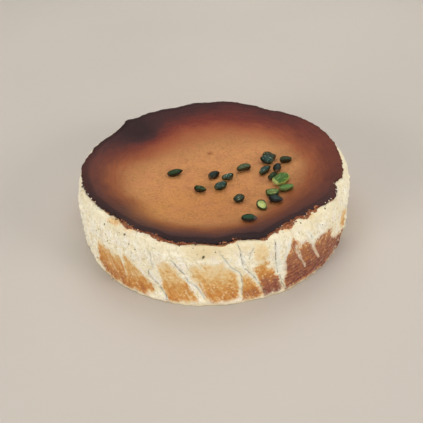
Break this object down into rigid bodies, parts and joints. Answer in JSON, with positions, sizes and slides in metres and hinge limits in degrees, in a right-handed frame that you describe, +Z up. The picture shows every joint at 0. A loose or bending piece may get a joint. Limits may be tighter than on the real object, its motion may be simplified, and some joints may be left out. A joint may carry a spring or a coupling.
{
  "type": "basque cheesecake",
  "caption": "Whole uncut burnt cheesecake: low round cake with a dished dark crust, a rough creased pale wall and pistachio kernels on top.",
  "frame": {"origin": "centre of the footprint's box, on the flat base", "axes": "+Z up out of the cake's top, -Y towards the side that shows the front, +X to its right"},
  "size_m": [0.2414, 0.2426, 0.0601],
  "materials": {
    "baked_cake": "satin baked crust, dull crumbly wall",
    "pistachio_dark": "slightly glossy skin",
    "pistachio_green": "slightly glossy"
  },
  "bodies": {
    "root": {"cheesecake": "baked_cake", "pistachio_01": "pistachio_dark", "pistachio_02": "pistachio_dark", "pistachio_03": "pistachio_dark", "pistachio_04": "pistachio_dark", "pistachio_05": "pistachio_dark", "pistachio_06": "pistachio_dark", "pistachio_07": "pistachio_dark", "pistachio_08": "pistachio_dark", "pistachio_09": "pistachio_dark", "pistachio_10": "pistachio_dark", "pistachio_11": "pistachio_dark", "pistachio_12": "pistachio_dark", "pistachio_13": "pistachio_dark", "pistachio_14": "pistachio_green", "pistachio_15": "pistachio_green", "pistachio_16": "pistachio_green", "pistachio_17": "pistachio_dark", "pistachio_18": "pistachio_green", "pistachio_19": "pistachio_dark"}
  },
  "joints": []
}
